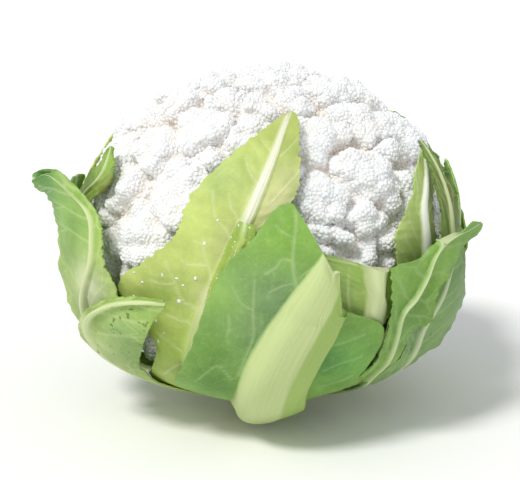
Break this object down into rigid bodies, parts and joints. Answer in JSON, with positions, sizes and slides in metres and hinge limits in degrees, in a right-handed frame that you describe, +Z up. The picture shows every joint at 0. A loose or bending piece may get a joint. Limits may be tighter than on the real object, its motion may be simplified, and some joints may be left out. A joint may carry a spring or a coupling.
{
  "type": "cauliflower",
  "caption": "Trimmed cauliflower head: a white domed curd on a short cut stalk, wrapped in overlapping green leaves, standing on its cut face.",
  "frame": {"origin": "centre of the stalk's cut face, which the head stands on", "axes": "+Z up along the stalk towards the crown of the curd, -Y towards the front with the broken outer leaf, +X to the right"},
  "size_m": [0.201, 0.1981, 0.156],
  "materials": {
    "curd": "matt, finely granular white flower buds with cream creases",
    "stalk": "moist cut plant flesh, pale cream green, ringed by fibres",
    "leaf_yellow_green": "waxy inner leaf, yellow green with pale cream veins and a few water drops",
    "leaf_green": "waxy outer leaf, mid green with a thick pale midrib, pale veins and torn or cut edges"
  },
  "bodies": {
    "root": {"curd": "curd", "stalk": "stalk", "front_inner_leaf": "leaf_yellow_green", "front_small_leaf": "leaf_green", "front_outer_leaf": "leaf_green", "front_trimmed_leaf": "leaf_green", "right_pointed_leaf": "leaf_green", "right_outer_leaf": "leaf_green", "right_inner_leaf": "leaf_yellow_green", "right_rear_leaf": "leaf_green", "left_curled_leaf": "leaf_green", "left_folded_leaf": "leaf_green", "left_inner_leaf": "leaf_yellow_green", "left_outer_leaf": "leaf_green", "right_side_leaf": "leaf_green", "right_low_leaf": "leaf_green", "back_right_leaf": "leaf_green", "back_inner_leaf": "leaf_yellow_green", "back_leaf": "leaf_green", "back_left_leaf": "leaf_green", "left_side_leaf": "leaf_yellow_green"}
  },
  "joints": []
}
